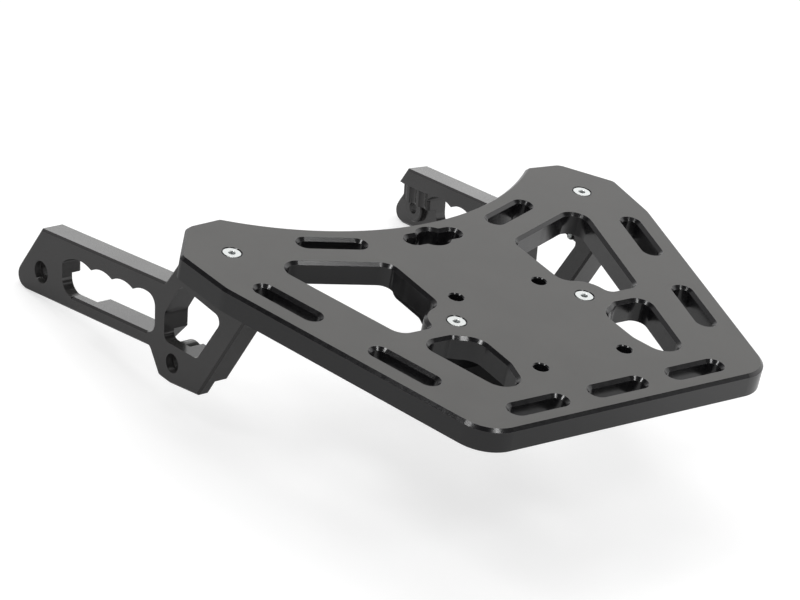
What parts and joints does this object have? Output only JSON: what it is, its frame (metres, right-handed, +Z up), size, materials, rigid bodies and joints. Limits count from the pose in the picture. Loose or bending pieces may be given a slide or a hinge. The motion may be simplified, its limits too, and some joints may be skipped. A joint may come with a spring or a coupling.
{
  "type": "motorcycle luggage rack",
  "caption": "Flat luggage plate with lashing slots and lightening windows, carried by a pair of grab-handle arms and a centre bracket",
  "frame": {"origin": "on the top face of the luggage plate, at the centre of its four case-mounting holes", "axes": "+Z up out of the deck, +Y forward along the bike, +X to the rider's right"},
  "size_m": [0.3416, 0.4176, 0.1252],
  "materials": {
    "plate_black": "satin black anodised, fine milled grain",
    "arm_black": "satin black anodised, milled",
    "zinc_screw": "bright zinc plated steel"
  },
  "bodies": {
    "root": {"top_plate": "plate_black", "left_arm": "arm_black", "right_arm": "arm_black", "centre_bracket": "arm_black", "front_left_screw": "zinc_screw", "front_right_screw": "zinc_screw", "rear_left_screw": "zinc_screw", "rear_right_screw": "zinc_screw"}
  },
  "joints": []
}
